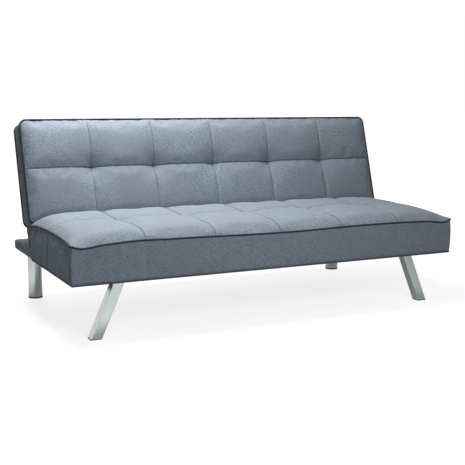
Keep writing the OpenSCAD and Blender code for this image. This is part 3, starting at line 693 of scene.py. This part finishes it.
# %% Metals, plastic, wood and foam
def metal_material(name, colour, roughness, worn, metallic=1.0):
    """Metal with fine scratches and smudges in its roughness, and a little dust."""
    material, tree, shader = new_material(name, roughness, metallic)
    marks = use_group(tree, "scratches", Size=1.0)
    dust = use_group(tree, "dust", Amount=0.15)
    tint = mixed(tree, maths(tree, "MULTIPLY", marks.outputs["Smudge"], 0.25), colour,
                 tuple(c * 0.86 for c in colour))
    put(tree, shader.inputs["Base Color"], mixed(tree, dust.outputs["Dust"], tint, (0.4, 0.39, 0.37)))
    spread = maths(tree, "ADD", maths(tree, "MULTIPLY", marks.outputs["Scratch"], worn),
                   maths(tree, "MULTIPLY", marks.outputs["Smudge"], worn * 0.7))
    put(tree, shader.inputs["Roughness"], maths(tree, "ADD", spread, roughness))
    bump(tree, shader, marks.outputs["Scratch"], 0.08, 0.05 * MM)
    return material


def plastic_material(name, colour):
    """Moulded plastic with a fine grain and pale rubbed spots."""
    material, tree, shader = new_material(name, 0.5)
    coordinates = add(tree, "TexCoord")
    grain = add(tree, "TexVoronoi", Vector=coordinates.outputs["Object"], Scale=900.0)
    marks = use_group(tree, "scratches", Size=0.6)
    rubbed = mixed(tree, maths(tree, "MULTIPLY", marks.outputs["Smudge"], 0.3), colour,
                   tuple(c + 0.035 for c in colour))
    put(tree, shader.inputs["Base Color"], rubbed)
    put(tree, shader.inputs["Roughness"], ranged(tree, marks.outputs["Smudge"], 0.0, 1.0, 0.42, 0.62))
    bump(tree, shader, grain.outputs["Distance"], 0.25, 0.12 * MM)
    return material


def wood_material(name, pale, deep, fineness):
    """Sawn wood: grain between two colours, with a rough sawn surface."""
    material, tree, shader = new_material(name, 0.7)
    grain = use_group(tree, "grain", Fineness=fineness)
    put(tree, shader.inputs["Base Color"], mixed(tree, grain.outputs["Grain"], pale, deep))
    put(tree, shader.inputs["Roughness"], ranged(tree, grain.outputs["Grain"], 0.0, 1.0, 0.6, 0.8))
    bump(tree, shader, grain.outputs["Height"], 0.4, 0.4 * MM)
    return material


def foam_material(name, colour):
    """Open-cell foam: small pits over a pale yellow."""
    material, tree, shader = new_material(name, 0.95)
    coordinates = add(tree, "TexCoord")
    cells = add(tree, "TexVoronoi", Vector=coordinates.outputs["Object"], Scale=420.0)
    shade = mixed(tree, cells.outputs["Distance"], tuple(c * 0.7 for c in colour), colour)
    put(tree, shader.inputs["Base Color"], shade)
    bump(tree, shader, cells.outputs["Distance"], 0.6, 0.6 * MM)
    return material


chrome = metal_material("chrome", (0.78, 0.85, 0.825), 0.11, 0.10)
zinc_steel = metal_material("zinc_steel", (0.60, 0.61, 0.62), 0.34, 0.18)
black_steel = metal_material("black_steel", (0.030, 0.031, 0.034), 0.42, 0.15, metallic=0.35)
black_plastic = plastic_material("black_plastic", (0.016, 0.016, 0.017))
pine = wood_material("pine", (0.60, 0.42, 0.23), (0.40, 0.24, 0.11), 1.0)
plywood = wood_material("plywood", (0.52, 0.37, 0.21), (0.36, 0.23, 0.12), 0.6)
foam = foam_material("foam", (0.72, 0.60, 0.28))
finishes = {"heather_cloth": heather_cloth, "rear_cloth": rear_cloth, "navy_piping": navy_cloth,
            "dust_cloth": dust_cloth, "webbing": webbing_cloth, "foam": foam, "pine": pine,
            "plywood": plywood, "chrome": chrome, "zinc_steel": zinc_steel,
            "black_steel": black_steel, "black_plastic": black_plastic}
print("finishes:", len(finishes))

# %% [markdown]
# ## Materials for the CAD pieces
# Wood, steel and plastic keep their CAD shape. Each gets the finish that the record's slot names,
# so one loop over the nodes dresses them all.

# %% Dress the CAD nodes
node_slots = {part["node"]: part["material_slot"] for part in frame["record"]["subparts"]}
for node_name, node_object in frame["nodes"].items():
    node_object.data.materials.clear()
    node_object.data.materials.append(finishes[node_slots[node_name]])
print("dressed", len(node_slots), "CAD pieces")


def finish_piece(piece, material, slot, body, *nodes):
    """Gives a new piece its material and body, and hides the CAD nodes that it stands for. The slot argument
    is not used.
    """
    piece.data.materials.clear()
    piece.data.materials.append(material)
    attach(piece, body)
    if nodes:
        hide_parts(*nodes)


# %% [markdown]
# ## The tufted seat
# The seat is a slab of foam in a sewn cover. Its top is quilted: five seams run from front to rear
# and one runs across, and where they cross, a thread through the foam pulls the cloth down. A cover
# like this could be sculpted or blown up from a box by simulation alone. Here its stitched shape
# is worked out first, so that every seam lies where it is sewn, and a short cloth simulation then
# swells the loose cloth between the seams.

# %% Seat: shape of the top
SEAT_CROWN = 45 * MM
SEAT_REAR = PIVOT[1]
SHOULDER_START = 480 * MM
SHOULDER_LONG = 135 * MM
SEAT_CROSS = 297 * MM
SEAT_CORNER = 15 * MM
SAG_LEFT, SAG_RIGHT = 40 * MM, 62 * MM
WAVE_REACH = 120 * MM
BOW_RISE, BOW_IN, BOW_REACH = 10 * MM, 8 * MM, 60 * MM
CORNER_OUT, CORNER_REACH = 4 * MM, 20 * MM


def front_wave(x):
    """The front piping isn't quite straight: it rises over the panels and hangs before each corner."""
    swing = -3 * MM * np.cos(2 * math.pi * x / 0.9) + 4 * MM * hill(x, -0.6, 0.1)
    return swing - 7 * MM * hill(np.abs(x), 0.79, 0.05) + 5 * MM * hill(np.abs(x), HALF, 0.02)


def end_bow(depth):
    """How far an end of the seat is drawn in between its corners, from 0 to 1: sin(pi d)^0.7."""
    return np.sin(math.pi * np.clip(depth / (SHOULDER_START + 60 * MM), 0, 1)) ** 0.7


def shoulder(depth):
    """The seat's rear shoulder as (y, drop): over a rounded edge, down, and back to the nose.

    depth runs from 0 where the shoulder starts to 1 at the rear. A few places are joined by straight
    lines, spaced by their length, and the subdivision rounds them.
    """
    y = np.array([0, 28, 50, 62, 66, 65, 65, 74, 95]) * MM
    z = np.array([0, -5, -12, -20, -31, -42, -47, -50, -54]) * MM
    length = walked(np.stack([y, z], -1))
    length /= length[-1]
    return np.interp(depth, length, y), np.interp(depth, length, z)


def seat_top():
    """The quilted top as a grid of points over the seat, with its seam and hold masks.

    Its height is the piping's, plus a crown that rises from the edges, plus the quilting, less the
    drop of the rear shoulder. The front edge waves, and the ends are drawn in by BOW_IN half way.
    """
    x = stations([-HALF, *SEAMS, HALF])
    rear = SHOULDER_START
    flat_part = stations([0.0, SEAT_CROSS, rear], coarse=10 * MM)
    behind = np.linspace(0, 1, 22)[1:]
    depth = np.concatenate([flat_part, rear + behind * SHOULDER_LONG])
    gx, gd = np.meshgrid(x, depth, indexing="ij")
    past = np.clip((gd - rear) / SHOULDER_LONG, 0, 1)
    shoulder_y, shoulder_z = shoulder(past)
    y = np.minimum(gd, rear) + shoulder_y
    side = HALF - np.abs(gx)
    settle = rise(side, np.where(gx > 0, SAG_RIGHT, SAG_LEFT))
    crown = SEAT_CROWN * rise(gd, 38 * MM) * settle
    quilt = tufted(gx, gd, SEAT_CROSS, 17 * MM, 50 * MM, level=0.5)
    quilt *= rise(gd, 30 * MM) * rise(side, 30 * MM)
    z = PIPING_Z + crown + quilt * (1 - past ** 0.8) + shoulder_z * settle
    z += front_wave(gx) * np.exp(-gd / WAVE_REACH)
    z += (BOW_RISE * end_bow(gd) - 6 * MM * past) * (1 - settle)
    px, py = round_corners(gx, y, HALF, 0.0, SEAT_CORNER)
    px -= np.sign(px) * BOW_IN * end_bow(gd) * np.exp(-side / BOW_REACH)
    px += np.sign(px) * CORNER_OUT * np.exp(-(side + gd) / CORNER_REACH)
    points = np.stack([px, py + SEAT_FRONT, z], -1)
    near = np.minimum(nearest(gx, SEAMS), np.abs(gd - SEAT_CROSS))
    inside = rise(gd, 6 * MM) * rise(side, 6 * MM) * (past < 0.6)
    # painted shade: the seam mask darkens each seam for its thread and for the shadow in its crease
    seam = hill(near, 0.0, 3.0 * MM) * inside
    hold = np.where(near < 0.5 * MM, 1.0, 0.0)
    hold = np.maximum(hold, np.where((gd < 0.5 * MM) | (side < 0.5 * MM) | (past > 0.4), 1.0, 0.0))
    return {"points": points, "cloth": np.stack([gx, gd], -1), "seam": seam, "hold": hold}


# %% Seat: sides and underside
SIDE_SWELL = 2.2 * MM
END_WIDTH = 12 * MM
SPINE_STEP = 30 * MM


def rear_edge(z):
    """How far back the seat reaches at height z: round its nose, then slanting in to the frame."""
    nose_y, nose_z = SEAT_REAR, PIVOT[2]
    angle = np.linspace(math.pi / 2, -math.radians(20), 24)
    y = np.concatenate([nose_y + NOSE * np.cos(angle), [box_low[1] + 2 * MM, box_low[1]]])
    height = np.concatenate([nose_z + NOSE * np.sin(angle), [LIP_Z, SEAT_UNDER - 1 * MM]])
    return np.interp(-z, -height, y)


def seat_band(top):
    """The upright sides: the top's border carried down, swelling by SIDE_SWELL half way.

    Each level keeps the border's outline, but its depth is scaled so that its rear follows
    rear_edge.
    """
    rim = border(top["points"])
    level = np.concatenate([[0, 0.012, 0.03, 0.06, 0.10], np.linspace(0.16, 0.92, 17),
                            [0.96, 0.985, 1.0]])
    height = rim[:, 2][None] + (SEAT_UNDER - rim[:, 2][None]) * level[:, None]
    reach = (rim[:, 1] - SEAT_FRONT) / (rim[:, 1].max() - SEAT_FRONT)
    follow = np.clip((reach - 0.55) / 0.45, 0, 1) ** 1.5
    shift = (rear_edge(height) - rear_edge(rim[:, 2])[None]) * follow[None]
    outward = np.sign(rim[:, 0]) * (np.abs(rim[:, 0]) > HALF - END_WIDTH)
    swell = (SIDE_SWELL * np.sin(math.pi * level ** 0.8))[:, None]
    straighten = np.abs(outward) * (outward * HALF - rim[:, 0])
    across = rim[:, 0] + outward * swell + straighten * level[:, None] ** 0.5
    points = np.stack([across, rim[:, 1][None] + shift - swell * (reach < 0.02), height], -1)
    cloth = np.stack([np.broadcast_to(walked(rim), height.shape), height], -1)
    ends = np.where((level < 0.001) | (level > 0.94), 1.0, 0.0)
    # painted shade: the lowest few millimetres of the sides are darkened through the seam mask, where the
    # seat's bottom edge is in shade
    bottom_edge_shade = 0.9 * hill(height, SEAT_UNDER + 3 * MM, 7 * MM)
    print("seat band", points.shape)
    return {"points": points, "cloth": cloth, "seam": bottom_edge_shade,
            "hold": np.broadcast_to(ends[:, None], height.shape)}


def closing_rings(rim, middle):
    """Rings that close a flat opening: the rim shrunk step by step onto a line along its middle.

    Places on that line are rounded to SPINE_STEP, so that both of its sides meet at the same points.
    rim is points x (across, along, ...); middle is the line's place along.
    """
    shrink = np.array([1.0, 0.97, 0.6, 0.2, 0.0])[:, None, None]
    spine = rim.copy()
    spine[:, 0] = np.round(rim[:, 0] * 0.86 / SPINE_STEP) * SPINE_STEP
    spine[:, 1] = middle
    return spine[None] + (rim - spine)[None] * shrink


# %% Seat: sewn, swelled and slotted
ARM_PLAY = 7.5 * MM
PIN_PLAY = 1.5 * MM
PLATE_PLAY = 1 * MM
SLOT_REAR = 400 * MM
slot_in = corners("hinge_arm_right")[0, 0] - ARM_PLAY
slot_out = corners("pawl_pins")[1, 0] + PIN_PLAY
plate_low, plate_high = corners("hinge_plate_right")
slot_front, slot_top = plate_low[1], plate_high[2] + PLATE_PLAY
hinge_slots = [((slot_in, slot_front, LIP_Z), (slot_out, SLOT_REAR, slot_top)),
               ((-slot_out, slot_front, LIP_Z), (-slot_in, SLOT_REAR, slot_top))]
print("hinge slots", (slot_in / MM).round(1), "to", (slot_out / MM).round(1), "mm from the middle")

seat_quilt = seat_top()
seat_sides = seat_band(seat_quilt)
underside = closing_rings(seat_sides["points"][-1], seat_sides["points"][-1][:, 1].mean())
seat_bottom = {"points": underside, "cloth": underside[..., :2], "hold": 1.0}
seat = sewn("seat_cushion", [seat_quilt, seat_sides, seat_bottom])
puff(seat, pressure=0.5, reach=3.5 * MM)
subdivide(seat)
cut_boxes(seat, hinge_slots)
finish_piece(seat, heather_cloth, "heather_cloth", "base", "seat_cover", "seat_foam")

# %% [markdown]
# ## The tufted back
# The back is the same kind of cover on its own frame, stood up and raked. Its quilted front has the
# same five seams, one seam along its middle, and deeper tufts, because nothing presses it flat.

# %% Back
BACK_CROWN = 21 * MM
BACK_CORNER = 26 * MM
BACK_CROSS = 0.522 * BACK_LONG
BACK_SWELL = 3 * MM
PUCKER, PUCKER_STEP = 1.6 * MM, 15 * MM
PIPE = 4 * MM


def back_front():
    """The quilted front, made in the back's own frame, as points on the sofa.

    It is a crown plus the quilting, with puckers of height PUCKER every PUCKER_STEP at each end.
    """
    x = stations([-HALF, *SEAMS, HALF])
    up = stations([0.0, BACK_CROSS, BACK_LONG], coarse=10 * MM)
    gx, gu = np.meshgrid(x, up, indexing="ij")
    side = HALF - np.abs(gx)
    end = np.minimum(gu, BACK_LONG - gu)
    crown = BACK_CROWN * rise(end, 30 * MM) * rise(side, 30 * MM)
    quilt = tufted(gx, gu, BACK_CROSS, 33 * MM, 38 * MM, upright=0.4)
    upper = hill(gu, 0.75 * BACK_LONG, 70 * MM)
    pucker = np.sin(2 * math.pi * gu / PUCKER_STEP + 40 * side) * hill(side, 14 * MM, 15 * MM)
    quilt += PUCKER * pucker * upper + 3 * MM * hill(gu, 0.78 * BACK_LONG, 80 * MM)
    quilt *= rise(end, 24 * MM) * rise(side, 24 * MM)
    px, pu = round_corners(gx, gu, HALF, 0.0, BACK_CORNER)
    px, pu = round_corners(px, pu, HALF, BACK_LONG, BACK_CORNER, front=False)
    points = on_back(px, PIPE - crown - quilt, pu)
    near = np.minimum(nearest(gx, SEAMS), np.abs(gu - BACK_CROSS))
    # painted shade: the seam mask darkens the seams for their thread and for the shadow in their creases,
    # the level seam more than the upright ones
    upright = 0.55 * hill(nearest(gx, SEAMS), 0.0, 1.8 * MM)
    level = hill(gu, BACK_CROSS, 2.4 * MM)
    seam = np.maximum(upright, level) * rise(end, 6 * MM) * rise(side, 6 * MM)
    hold = np.where((near < 0.5 * MM) | (end < 0.5 * MM) | (side < 0.5 * MM), 1.0, 0.0)
    plan = np.stack([px, pu], -1)
    return {"points": points, "cloth": np.stack([gx, gu], -1), "seam": seam, "hold": hold}, plan


def back_band(plan):
    """The strip round the back, from the front piping to the rear one, swelling by BACK_SWELL.

    Its lower end stays flat and held, because the seat's rear edge passes just in front of it.
    """
    rim = border(plan)
    through = np.concatenate([[0.0, 0.03, 0.07], np.linspace(0.14, 0.86, 9), [0.93, 0.97, 1.0]])
    depth = PIPE + (BACK_THICK - 2 * PIPE) * through
    free = np.clip(rim[:, 1] / BACK_CORNER, 0, 1)[None]
    swell = BACK_SWELL * np.sin(math.pi * through)[:, None] * free
    across = rim[:, 0][None] + np.clip(rim[:, 0] / (HALF - BACK_CORNER), -1, 1) ** 15 * swell
    middle = rim[:, 1] / BACK_LONG * 2 - 1
    up = rim[:, 1][None] + np.sign(middle) * np.abs(middle) ** 15 * swell
    points = on_back(across, np.broadcast_to(depth[:, None], across.shape), up)
    along = np.broadcast_to(walked(rim), across.shape)
    cloth = np.stack([along, np.broadcast_to(depth[:, None], across.shape)], -1)
    hold = np.maximum(np.where((through < 0.01) | (through > 0.99), 1.0, 0.0)[:, None], 1 - free)
    # painted shade: the rear part of the strip is darkened through the seam mask, where it is in shade
    shade = np.broadcast_to(0.45 * np.clip((through - 0.7) / 0.3, 0, 1)[:, None], across.shape)
    return {"points": points, "cloth": cloth, "hold": hold, "seam": shade}


def back_rear(plan):
    """The rear of the cover, turned in over the frame: rings from the rear piping to the middle."""
    flat = closing_rings(border(plan), BACK_LONG / 2)
    points = on_back(flat[..., 0], np.full(flat.shape[:2], BACK_THICK - PIPE), flat[..., 1])
    return {"points": points, "cloth": flat, "hold": 1.0}


back_quilt, back_plan = back_front()
back = sewn("back_cushion", [back_quilt, back_band(back_plan), back_rear(back_plan)])
puff(back, pressure=0.6, reach=4.5 * MM)
subdivide(back)
finish_piece(back, heather_cloth, "heather_cloth", "back", "back_cover", "back_foam")

# %% [markdown]
# ## Piping
# Piping is a cord wrapped in a strip of cloth and caught in the seam between two panels. It is made
# as a round tube along the same border as the cloth, so it can't drift from the seam.

# %% Seat piping
def seat_piping_path():
    """The seat's border without its rear side, then down each rear corner to the frame."""
    grid = seat_quilt["points"]
    left, front, right = grid[0, ::-1], grid[:, 0], grid[-1]
    start = np.searchsorted(-left[:, 1], -(SEAT_REAR - 2 * MM))
    rim = np.concatenate([left[start:], front[1:-1], right[:len(right) - start]])
    height = np.linspace(rim[0, 2] - 6 * MM, LIP_Z + 2 * MM, 14)
    fall = np.stack([np.full(14, HALF), rear_edge(height), height], -1)
    mirror = np.array([-1.0, 1.0, 1.0])
    path = np.concatenate([(fall * mirror)[::-1], rim, fall])
    return path


seat_piping = tube("seat_piping_cord", seat_piping_path(), PIPE, reference=(0.3, 0.2, 1.0))
finish_piece(seat_piping, navy_cloth, "navy_piping", "base", "seat_piping")


# %% Back piping
def back_piping_path(depth):
    """The back's border at that depth."""
    rim = border(back_plan)[:-1]
    return on_back(rim[:, 0], np.full(len(rim), depth), rim[:, 1])


for label, depth, radius, node in (("front", PIPE - 1.5 * MM, PIPE, "back_front_piping"),
                                   ("rear", BACK_THICK - PIPE, 1.2 * PIPE, "back_rear_piping")):
    cord = tube(f"back_{label}_piping_cord", back_piping_path(depth), radius, closed=True,
                reference=tuple(on_back(0.0, 1.0, 0.0) - on_back(0.0, 0.0, 0.0)))
    finish_piece(cord, navy_cloth, "navy_piping", "back", node)

# %% [markdown]
# ## The box behind the back
# The low box carries the folded back. It is a board frame with a thin pad, wrapped in the same
# cloth, so its edges are only slightly round.

# %% Support box
BOX_ROUND = 8 * MM
BOX_END = 12 * MM


def box_skin():
    """A rounded rectangle in (y, z) carried along X.

    The profile is a superellipse of power 9. Each end draws in by BOX_ROUND over its last BOX_END,
    along a quarter of an ellipse.
    """
    turn = np.linspace(0, 2 * math.pi, 129)
    power = 2 / 9
    py = np.sign(np.cos(turn)) * np.abs(np.cos(turn)) ** power
    pz = np.sign(np.sin(turn)) * np.abs(np.sin(turn)) ** power
    half = box_high[0] + 4 * MM
    x = stations([-half, half], coarse=30 * MM, growth=1.3)
    inset = np.clip((half - np.abs(x)) / BOX_END, 0, 1)
    draw_in = (BOX_ROUND * (1 - np.sqrt(1 - (1 - inset) ** 2)))[:, None]
    middle = (box_low + box_high) / 2
    _, half_y, half_z = (box_high - box_low) / 2
    y = middle[1] + py * (half_y - draw_in)
    z = middle[2] + pz * (half_z - draw_in)
    points = np.stack([np.broadcast_to(x[:, None], y.shape), y, z], -1)
    around = walked(np.stack([py * half_y, pz * half_z], -1))
    cloth = np.stack([points[..., 0], np.broadcast_to(around, y.shape)], -1)
    caps = []
    for end in (0, -1):
        hub = points[end].mean(axis=0)
        ring = hub + (points[end] - hub)[None] * np.array([1.0, 0.9, 0.5, 0.0])[:, None, None]
        caps.append({"points": ring, "cloth": ring[..., 1:]})
    return [{"points": points, "cloth": cloth}, *caps]


box = sewn("support_box_cover", box_skin())
subdivide(box)
finish_piece(box, heather_cloth, "heather_cloth", "base", "box_cover", "box_pad")


# %% [markdown]
# ## Cloths that close the frame
# Thin black cloth is stapled under the seat and the box, and a grey panel closes the back's rear.
# Each is one grid that sags a little between its stapled edges.

# %% Dust covers and rear panel
def slack_sheet(name, low, high, place, sag, thickness):
    """A thin closed sheet: two grids a thickness apart, with a rim between them.

    They bow by sag * (1 - a^4) * (1 - b^4), a little rippled, where a and b run from -1 to 1.
    """
    a = stations([-1.0, 1.0], fine=0.01, coarse=0.06)
    b = stations([-1.0, 1.0], fine=0.02, coarse=0.12)
    ga, gb = np.meshgrid(a, b, indexing="ij")
    first = (low[0] + high[0]) / 2 + ga * (high[0] - low[0]) / 2
    second = (low[1] + high[1]) / 2 + gb * (high[1] - low[1]) / 2
    ripple = 0.25 * np.sin(9 * ga) * np.cos(5 * gb) + 1
    bow = sag * (1 - ga ** 4) * (1 - gb ** 4) * ripple
    cloth = np.stack([first, second], -1)
    outer = place(first, second, bow)
    inner = place(first, second, bow - thickness)
    rim = np.stack([border(outer), border(inner)])
    rim_cloth = np.stack([border(cloth), border(cloth)])
    return sewn(name, [{"points": outer, "cloth": cloth}, {"points": inner, "cloth": cloth},
                       {"points": rim, "cloth": rim_cloth}])


def below(level):
    """Places a sheet flat under the frame, where a positive bow hangs down."""
    return lambda x, y, bow: np.stack([x, y, level - bow], -1)


for name, node, rails in (
        ("seat_dust_sheet", "seat_dust_cover", ["seat_side_rail_left", "seat_side_rail_right"]),
        ("box_dust_sheet", "box_dust_cover", ["box_front_rail", "box_rear_rail"])):
    low, high = corners(node)
    sheet = slack_sheet(name, low[:2], high[:2], below(low[2] + 0.2 * MM), 0.5 * MM, 0.7 * MM)
    finish_piece(sheet, dust_cloth, "dust_cloth", "base", node)

panel_low = np.array([-HALF + 6 * MM, 6 * MM])
panel_high = np.array([HALF - 6 * MM, BACK_LONG - 6 * MM])
panel = slack_sheet("back_rear_sheet", panel_low, panel_high,
                    lambda x, up, bow: on_back(x, BACK_THICK - 1.5 * MM - bow, up), 1.0 * MM, -1.0 * MM)
finish_piece(panel, rear_cloth, "rear_cloth", "back", "back_rear_panel")
